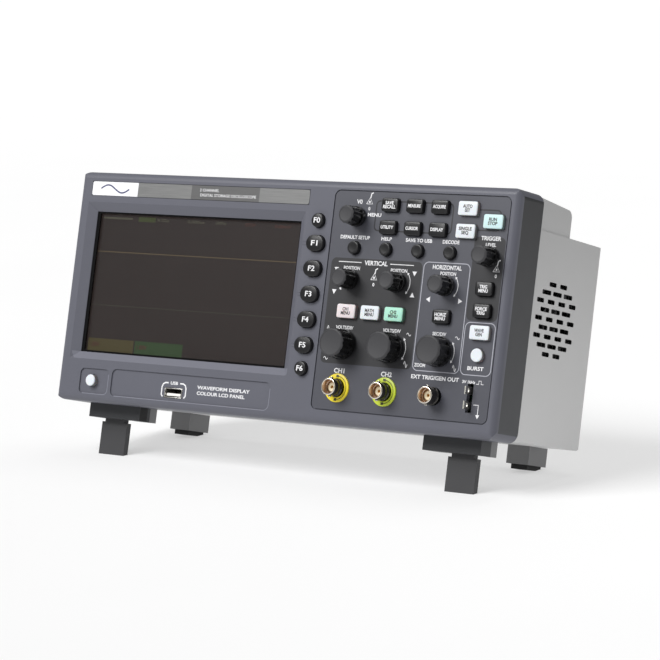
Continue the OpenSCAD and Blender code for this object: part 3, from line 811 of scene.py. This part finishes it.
def bar(x0, x1, y0, y1, z0, z1, soft):
    """A small block with its edges rounded by soft."""
    bpy.ops.object.select_all(action="DESELECT")
    bpy.ops.mesh.primitive_cube_add(size=1)
    piece = bpy.context.object
    piece.scale = Vector((x1 - x0, y1 - y0, z1 - z0)) * MM
    bpy.ops.object.transform_apply(scale=True)
    edit(piece)
    bpy.ops.mesh.select_all(action="SELECT")
    bpy.ops.mesh.bevel(offset=soft * MM, segments=2, affect="EDGES")
    leave()
    return moved(piece, (x0 + x1) / 2, (y0 + y1) / 2, (z0 + z1) / 2)


# ------------------------------------------------------------- caps and knobs

def front_limit(piece):
    """Just behind the piece's frontmost plane."""
    return min(v.co.y for v in piece.data.vertices) + FLUSH


def cut_front(piece, size, segments):
    """Cuts or rounds the edges that lie in a piece's frontmost plane."""
    limit = front_limit(piece)
    pick(piece, edge=lambda ends: all(c.y < limit for c in ends))
    bpy.ops.mesh.bevel(offset=size * MM, segments=segments, affect="EDGES",
                       clamp_overlap=True)
    leave()


def inset_front(piece, border, rise):
    """Raises or sinks the middle of a piece's front face inside a border."""
    limit = front_limit(piece)
    pick(piece, face=lambda p: p.normal.y < -0.99 and p.center.y < limit)
    bpy.ops.mesh.inset(thickness=border * MM, depth=rise * MM)
    leave()


def make_cap(node, crown):
    """A cap with a rounded front edge; a crowned one has a stepped middle."""
    piece = copy_of(node, "cap_" + node[CAP_PREFIX:])
    cut_front(piece, 0.55, 3)
    if crown:
        inset_front(piece, 0.9, -0.12)
    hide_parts(node)
    settle(piece, node, FINISHES[SLOT_OF[node]], 50)


CAP_WORDS = {
    "f0": "F0", "f1": "F1", "f2": "F2", "f3": "F3", "f4": "F4", "f5": "F5", "f6": "F6",
    "save_recall": "SAVE\nRECALL", "measure": "MEASURE", "acquire": "ACQUIRE",
    "utility": "UTILITY", "cursor": "CURSOR", "display": "DISPLAY",
    "horiz_menu": "HORIZ\nMENU", "trig_menu": "TRIG\nMENU", "force_trig": "FORCE\nTRIG",
    "auto_set": "AUTO\nSET", "single": "SINGLE\nSEQ", "run_stop": "RUN\nSTOP",
    "ch1_menu": "CH1\nMENU", "math_menu": "MATH\nMENU", "ch2_menu": "CH2\nMENU",
    "wave_gen": "WAVE\nGEN",
}

CROWNED = ("power", "burst", "help", "decode", "save_usb", "default_setup")

for node in sorted(n for n in NODES if n.startswith("button_")):
    short = node[CAP_PREFIX:]
    make_cap(node, crown=short in CROWNED)
    text = CAP_WORDS.get(short)
    if text:
        spot = CAP[short]
        front = case_box(node)[0].y
        dark = SLOT_OF[node] == "dark_cap"
        big = text[0] == "F" and len(text) == 2
        wide = 4.6 if big else 8.6
        lines = text.split("\n")
        if not big:
            wide = min(wide, 1.55 * max(len(w) for w in lines))
        legend = words(text, spot.x, front - 0.02, spot.z, 3.0 if big else 1.85, wide,
                       0.02 if big else 0.03)
        legend.name = "legend_" + short
        settle(legend, node, WHITE_INK if dark else DARK_INK, 0)


def make_knob(node):
    """A fluted grip whose front edge is cut off all round, as flat facets."""
    piece = copy_of(node, "grip_" + node[KNOB_PREFIX:])
    cut_front(piece, 0.8, 1)
    inset_front(piece, 0.25, -0.05)
    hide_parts(node)
    settle(piece, node, FINISHES[SLOT_OF[node]], 24)


for node in sorted(n for n in NODES if n.startswith("knob_")):
    make_knob(node)


# ---------------------------------------------------------------------- jacks

def make_jacks():
    """Bayonet jacks: turned barrel with lugs, resin insulator and centre contact."""
    bore = MOUNTS["ch1_jack"]["dims"]["r_mm"]
    tip = case_box("bnc_connectors")[0].y
    floor_y = tip + MOUNTS["ch1_jack"]["dims"]["length_mm"]
    barrel = lathe([
        (3.9, 3.0), (4.9, 3.0), (4.9, -0.9), (5.15, -0.9), (5.15, -2.3), (5.05, -2.4),
        (4.8, -2.4), (4.65, -2.6), (4.65, -4.9), (4.9, -5.1), (4.9, tip + 0.3),
        (4.75, tip + 0.08), (4.6, tip), (bore + 0.2, tip), (bore, tip + 0.2),
        (bore, floor_y), (3.9, floor_y + 0.1), (3.9, 3.0)])
    parts = [barrel]
    for side in (-1, 1):
        bpy.ops.object.select_all(action="DESELECT")
        bpy.ops.mesh.primitive_cylinder_add(vertices=20, radius=0.95 * MM, depth=1.5 * MM)
        lug = bpy.context.object
        edit(lug)
        bpy.ops.mesh.select_all(action="SELECT")
        bpy.ops.mesh.bevel(offset=0.12 * MM, segments=2, affect="EDGES")
        leave()
        parts.append(moved(lug, 0, tip + 2.9, side * 5.0))
    barrel = join(parts, "jack_barrel")
    resin = lathe([
        (0, 2.9), (3.85, 2.9), (3.85, floor_y + 3.2), (2.9, floor_y + 3.2),
        (2.75, floor_y + 0.35), (2.5, floor_y + 0.05), (1.05, floor_y + 0.05),
        (0.95, floor_y + 0.2), (0.95, floor_y + 2.6), (0, floor_y + 2.6)])
    pin = lathe([
        (0, floor_y + 2.9), (0.9, floor_y + 2.9), (0.9, floor_y + 0.5),
        (0.8, floor_y + 0.35), (0.45, floor_y + 0.35), (0.45, floor_y + 1.9),
        (0, floor_y + 1.9)], 24)
    for jack in ("ch1", "ch2", "ext"):
        spot = mount_spot(jack + "_jack")
        for source, word, material in (
                (barrel, "barrel", JACK), (resin, "insulator", INSULATOR),
                (pin, "contact", CONTACT)):
            piece = twin(source)
            piece.name = f"{jack}_{word}"
            moved(piece, spot.x, 0, spot.z)
            settle(piece, "case", material, 40)
    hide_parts("bnc_connectors")
    for source in (barrel, resin, pin):
        bpy.data.objects.remove(source)


make_jacks()


def make_rings():
    """Flat coloured rings with rounded edges round the two channel jacks."""
    low, high = case_box("bnc_rings")
    radius = (high.z - low.z) / 2
    ring = lathe([
        (5.3, high.y), (5.3, low.y + 0.25), (5.5, low.y), (radius - 0.45, low.y),
        (radius - 0.1, low.y + 0.15), (radius, low.y + 0.45), (radius, high.y),
        (5.3, high.y)], 64)
    pair = []
    for jack in ("ch1", "ch2"):
        spot = mount_spot(jack + "_jack")
        pair.append(moved(twin(ring), spot.x, 0, spot.z))
    both = join(pair, "jack_rings")
    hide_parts("bnc_rings")
    settle(both, "case", FINISHES["ring_plastic"], 40)
    bpy.data.objects.remove(ring)


make_rings()


def make_host_socket():
    """Folded shell of the host socket with its tongue, drawn as thin plates."""
    low, high = case_box("usb_host_socket")
    deep = low.y + 11.0
    plates = [
        bar(low.x, high.x, low.y, deep, high.z - 0.4, high.z, 0.1),
        bar(low.x, high.x, low.y, deep, low.z, low.z + 0.4, 0.1),
        bar(low.x, low.x + 0.4, low.y, deep, low.z, high.z, 0.1),
        bar(high.x - 0.4, high.x, low.y, deep, low.z, high.z, 0.1),
        bar(low.x + 0.3, high.x - 0.3, deep - 0.8, deep, low.z + 0.3, high.z - 0.3, 0.1),
        bar(low.x + 1.5, high.x - 1.5, low.y + 0.7, deep - 0.5, low.z + TONGUE_Z[0],
            low.z + TONGUE_Z[1], 0.12)]
    shell = join(plates, "host_socket_shell")
    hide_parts("usb_host_socket")
    settle(shell, "case", FINISHES["socket_steel"], 40)


make_host_socket()


# --------------------------------------------------------------- printed marks

PRINT_Y = SHEET_LOW.y - 0.02

# text, the knob or cap it stands by, offsets right and up, height, width
KNOB_WORDS = [
    ("V0", "menu", -0.2, 8.9, 2.4, None),
    ("MENU", "menu", 11.1, 1.6, 2.0, 9.4),
    ("0", "menu", 7.0, 5.1, 1.9, None),
    ("VERTICAL", "ch1_position", 16.3, 10.3, 2.5, 16.0),
    ("POSITION", "ch1_position", -0.1, 6.9, 1.9, 11.3),
    ("POSITION", "ch2_position", -0.1, 6.9, 1.9, 11.3),
    ("0", "ch1_position", 16.1, -2.0, 1.9, None),
    ("VOLTS/DIV", "ch1_volts", -0.6, 9.9, 1.9, 12.2),
    ("VOLTS/DIV", "ch2_volts", -0.4, 9.9, 1.9, 12.2),
    ("CH1", "ch1_volts", -0.8, -15.1, 2.6, 7.4),
    ("CH2", "ch2_volts", -0.6, -15.1, 2.6, 7.4),
    ("TRIGGER", "trigger_level", -0.8, 10.5, 2.3, 13.2),
    ("LEVEL", "trigger_level", -0.5, 6.9, 1.9, 6.9),
    ("0", "trigger_level", 4.9, -10.5, 1.9, None),
    ("HORIZONTAL", "horiz_position", -0.9, 10.5, 2.4, 19.4),
    ("POSITION", "horiz_position", 0.2, 7.1, 1.9, 10.5),
    ("SEC/DIV", "time_base", -1.6, 10.0, 1.9, 9.2),
    ("ZOOM", "time_base", -12.4, -8.3, 1.9, 7.4),
    ("EXT TRIG/GEN OUT", "time_base", -1.2, -14.9, 2.2, 32.0),
]
CAP_LABELS = [
    ("DEFAULT SETUP", "default_setup", -0.8, 6.2, 2.0, 20.5),
    ("HELP", "help", -0.9, 6.2, 2.0, 7.2),
    ("SAVE TO USB", "save_usb", -0.7, 6.2, 2.0, 18.0),
    ("DECODE", "decode", -0.7, 6.2, 2.0, 11.2),
    ("BURST", "burst", -1.1, -7.4, 2.1, 10.6),
]


def press_mark(x, z):
    """A finger over a small cone: push to set to zero."""
    cone = [(x - 2.1, z - 1.6), (x + 2.1, z - 1.6), (x, z + 2.0), (x - 2.1, z - 1.6)]
    finger = [(x + 2.0, z + 5.0), (x + 0.7, z + 4.3), (x + 0.3, z + 1.8)]
    return [stroke(cone, PRINT_Y, 0.45), stroke(finger, PRINT_Y, 0.8),
            stroke([(x, z + 0.2), (x, z - 1.0)], PRINT_Y, 1.1)]


def bent_arrow(knob, radius, middle, swing=40):
    """A curved double arrow beside a knob, centred on an angle."""
    points = arc(knob, radius, middle - swing, middle + swing)
    ends = []
    for spot, turn in ((points[0], middle - swing - 90), (points[-1], middle + swing + 90)):
        ends.append(pointer(spot[0], PRINT_Y, spot[1], 0.95, turn))
    return [stroke(points, PRINT_Y, 0.4), *ends]


def panel_print():
    pieces = []
    for text, knob, dx, dz, tall, wide in KNOB_WORDS:
        spot = KNOB[knob]
        pieces.append(words(text, spot.x + dx, PRINT_Y, spot.z + dz, tall, wide))
    for text, cap, dx, dz, tall, wide in CAP_LABELS:
        spot = CAP[cap]
        pieces.append(words(text, spot.x + dx, PRINT_Y, spot.z + dz, tall, wide))
    first, second = KNOB["ch1_position"], KNOB["ch2_position"]
    title_z = first.z + 10.3
    for x0, x1 in ((first.x - 9.8, first.x + 6.2), (second.x - 6.6, second.x + 9.6)):
        pieces.append(stroke([(x0, title_z), (x1, title_z)], PRINT_Y, 0.5))
    level = KNOB["trigger_level"]
    for x, z in ((KNOB["menu"].x + 6.8, KNOB["menu"].z + 9.4),
                 (first.x + 16.0, first.z + 2.4), (level.x + 4.9, level.z - 6.4)):
        pieces += press_mark(x, z)
    pieces += bent_arrow(first, 8.4, 180)
    pieces += bent_arrow(second, 8.4, 0)
    pieces += bent_arrow(KNOB["horiz_position"], 7.7, 0)
    for knob, side in ((first, -1), (second, 1)):
        x = knob.x + side * 10.7
        pieces.append(pointer(x, PRINT_Y, knob.z + 6.0, 1.8, -90))
        pieces.append(pointer(x, PRINT_Y, knob.z - 6.9, 1.8, 90 * side))
    across = KNOB["horiz_position"]
    pieces.append(pointer(across.x - 11.0, PRINT_Y, across.z - 8.0, 1.8, 180))
    pieces.append(pointer(across.x + 9.8, PRINT_Y, across.z - 8.0, 1.8, 0))
    for knob, side, reach in ((KNOB["ch1_volts"], -1, 10.4), (KNOB["ch2_volts"], 1, 10.4),
                              (KNOB["time_base"], 1, 9.7)):
        pieces += bent_arrow(knob, reach, 0 if side > 0 else 180, 32)
        x = knob.x + side * (reach + 1.0)
        up, down = (1, -1) if side > 0 else (-1, 1)
        pieces.append(stroke(wave(x, knob.z + up * 8.4, 2.8, 1.6), PRINT_Y, 0.4))
        pieces.append(stroke(wave(x, knob.z + down * 8.6, 2.4, 3.6), PRINT_Y, 0.4))
    base = KNOB["time_base"]
    pieces.append(stroke([(base.x - 12.4, base.z - 5.8), (base.x - 12.4, base.z - 3.6)],
                         PRINT_Y, 0.4))
    return pieces


def terminal_print():
    """Square wave and ground arrow by the probe terminals."""
    spot = mount_spot("probe_test_loops")
    top, gap = spot.z + 8.0, 1.6
    points, level = [(spot.x + 3.4, top)], 0
    for i in range(2):
        x = spot.x + 5.0 + i * gap
        points += [(x, top + level), (x, top + 1.9 - level)]
        level = 1.9 - level
    points.append((spot.x + 8.2, top + level))
    x, z = spot.x + 3.2, spot.z - 3.6
    return [stroke(points, PRINT_Y, 0.45),
            words("3V 1kHz", spot.x - 1.6, PRINT_Y, top + 0.9, 1.6, 8.6),
            stroke([(x, z), (x + 3.2, z), (x + 3.2, z - 5.4)], PRINT_Y, 0.5),
            pointer(x + 3.2, PRINT_Y, z - 6.2, 1.5, -90)]


white = join(panel_print() + terminal_print(), "print_controls")
settle(white, "case", WHITE_INK, 0)


def host_print():
    """Bracket and words round the host socket, in its shallow recess."""
    spot = centre_of("usb_host_socket")
    y = 0.8 - 0.02
    left, right = spot.x - 9.0, spot.x + 9.2
    top, bottom = spot.z + 5.9, spot.z - 2.6
    return [
        stroke([(spot.x - 4.4, top), (left + 2.4, top), (left + 0.7, top - 0.9),
                (left, top - 2.8), (left, bottom + 1.2), (left + 1.1, bottom)], y, 1.0),
        stroke([(spot.x + 4.4, top), (right - 2.4, top), (right - 0.7, top - 0.9),
                (right, top - 2.8), (right, bottom + 1.2), (right - 1.1, bottom)], y, 1.0),
        words("USB", spot.x, y, top, 1.8, 5.6),
        words("WAVEFORM DISPLAY", spot.x + 37.0, y, spot.z + 4.7, 2.0, 39.0),
        words("COLOUR LCD PANEL", spot.x + 35.4, y, spot.z + 1.3, 2.0, 35.6),
    ]


host = join(host_print(), "print_host_socket")
settle(host, "case", WHITE_INK, 0)


def nameplate_print():
    low, high = case_box("nameplate")
    y = low.y - 0.02
    middle = (low.z + high.z) / 2
    two_line = [
        words("2 CHANNEL", low.x + 90.6, y, middle + 1.55, 1.7, 14.4, 0.004),
        words("DIGITAL STORAGE OSCILLOSCOPE", low.x + 104.8, y, middle - 1.45, 1.7, 41.6, 0.004),
    ]
    mark = stroke(wave(low.x + 17.8, middle, 22.0, 4.6, 25), y, 1.0)
    return two_line, mark


two_line, mark = nameplate_print()
settle(join(two_line, "print_nameplate"), "case", WHITE_INK, 0)
mark.name = "print_nameplate_wave"
settle(mark, "case", NAVY_INK, 0)


def screen_readouts():
    """Dim readouts on the display's own face."""
    face = case_box("lcd_module")[0].y + 0.4 - 0.02
    top = VIEW_HIGH.z - 3.4
    left = VIEW_LOW.x + BORDER
    low = VIEW_LOW.z + 5.4
    dim = [words("M 500us", left + 48.0, face, top, 1.8, 9.0),
           words("0.000us", left + 73.0, face, top, 1.8, 13.0),
           words("1MPts", left + 92.0, face, top, 1.8, 8.0),
           stroke([(left + 1.5, top), (left + 24.0, top)], face, 1.4)]
    green = [bar(left + 28.8, left + 42.0, face - 0.02, face + 0.04, top - 1.5, top + 1.5, 0.01)]
    red = [words("STOP", left + 114.0, face, top - 0.2, 1.8, 8.0),
           words("0.00mV", left + 138.0, face, top - 0.2, 1.8, 12.0),
           words("1.00V", left + 6.0, face, low, 2.6, 8.0),
           words("1.00V", left + 43.0, face, low, 2.6, 8.0)]
    return dim, green, red


LCD_SETS = zip(screen_readouts(), ("dim", "green", "red"), (DIM_INK, GREEN_INK, RED_INK))
for group, word, material in LCD_SETS:
    settle(join(group, "readout_" + word), "case", material, 0)


# ------------------------------------------------------------- small mouldings

def key_ticks():
    """Pairs of fine ribs that point from the screen to the soft keys."""
    ribs = []
    right = VIEW_HIGH.x + 1.6
    for key in ("f1", "f2", "f3", "f4", "f5"):
        spot = CAP[key]
        for rise in (0.9, -0.9):
            ribs.append(bar(right + 2.6, spot.x - 6.9, -0.22, 0.3, spot.z + rise - 0.22,
                            spot.z + rise + 0.22, 0.1))
    return ribs


def recess_rim_highlights():
    """Painted highlights: thin pale strokes on the right and lower edges of two recesses, where
    each moulded lip catches light.
    """
    def lip(x0, x1, z0, z1, r):
        corner = [(x1 - r + r * math.cos(a), z0 + r - r * math.sin(a))
                  for a in (math.radians(15 * k) for k in range(7))]
        return [(x1, z1 - r), *corner, (x0 + r, z0)]
    return [stroke(lip(*POWER_RECESS, 3.0), -0.03, 0.45),
            stroke(lip(*HOST_RECESS, 3.5), -0.03, 0.45)]


# painted highlight strokes along the recess edges
lip_highlights = join(recess_rim_highlights(), "recess_lips")
settle(lip_highlights, "case",
       plastic("lip_plastic", srgb(126, 127, 138), 0.35, 0.3, 0.004), 0)

ticks = join(key_ticks(), "key_ticks")
settle(ticks, "case", FINISHES["bezel_plastic"], 40)


# -------------------------------------------------- floor, light and the camera

WORLD_LIGHT = 0.3
FLOOR_SHADE = 0.52
# name, place, size and power of each lamp
LAMPS = [
    ("key_light", Vector((-0.72, -1.49, 1.73)), 1.3, 52.0),
    ("top_light", Vector((0.1, 0.6, 1.7)), 0.7, 4.0),
]


def make_stage():
    """A pale floor that glows where the lamps do not reach, so that it stays even."""
    bpy.ops.object.select_all(action="DESELECT")
    bpy.ops.mesh.primitive_plane_add(size=60, location=(0, 0, CAD_BOX[0].z))
    floor = bpy.context.object
    floor.name = "floor"
    f = Finish("pale_floor", Roughness=0.9, Emission_Strength=1.0, Specular_IOR_Level=0.0)
    glow = f.noise(0.004, 2.0) * 0.01 + (1.02 - FLOOR_SHADE * WORLD_LIGHT)
    for _, spot, _, power in LAMPS:
        seen = STAND.inverted() @ spot / MM
        dx, dy, dz = (f.x - seen.x) * MM, (f.y - seen.y) * MM, (f.z - seen.z) * MM
        reach = (dx * dx + dy * dy + dz * dz).root()
        glow = glow - FLOOR_SHADE * power * spot.z / math.pi ** 2 / reach ** 3
    glow = glow.top(0.0)
    f.feed("Base Color", f.mix(f.noise(0.004, 2.0), (FLOOR_SHADE - 0.01,) * 3 + (1,),
                               (FLOOR_SHADE + 0.01,) * 3 + (1,)))
    f.feed("Emission Color", f.mix(glow, (0, 0, 0, 1), (1, 1, 1, 1)))
    floor.data.materials.append(f.material)


def soft_light(name, spot, aim, size, power):
    bpy.ops.object.select_all(action="DESELECT")
    bpy.ops.object.light_add(type="AREA", location=spot)
    lamp = bpy.context.object
    lamp.name = name
    lamp.data.size = size
    lamp.data.energy = power
    lamp.rotation_euler = (Vector(aim) - Vector(spot)).to_track_quat("-Z", "Y").to_euler()


def make_light():
    middle = (CAD_BOX[0] + CAD_BOX[1]) / 2
    for name, spot, size, power in LAMPS:
        soft_light(name, spot, middle, size, power)
    # a pale card low on the right, which lights the foot of the shell's side
    soft_light("side_card", (0.62, 0.12, 0.04), (CAD_BOX[1].x, 0.02, 0.06), 0.25, 0.35)
    world = bpy.data.worlds.new("studio")
    bpy.context.scene.world = world
    world.use_nodes = True
    world.node_tree.nodes["Background"].inputs["Color"].default_value = (1, 1, 1, 1)
    world.node_tree.nodes["Background"].inputs["Strength"].default_value = WORLD_LIGHT


def make_camera():
    """The camera stands to the right and a little above, and looks along forward."""
    right = Vector((0.8136, 0.5809, -0.0247))
    down = Vector((0.0605, -0.1268, -0.9901))
    forward = Vector((-0.5783, 0.8040, -0.1382))
    turn = Matrix((right, -down, -forward)).transposed()
    bpy.ops.object.camera_add(location=(1.0191, -1.4074, 0.3212))
    eye = bpy.context.object
    eye.name = "camera"
    eye.rotation_euler = turn.to_euler()
    eye.data.sensor_width = 36
    eye.data.lens = 160.35
    bpy.context.scene.camera = eye


make_stage()
make_light()
make_camera()
bpy.context.scene.view_settings.view_transform = "Standard"
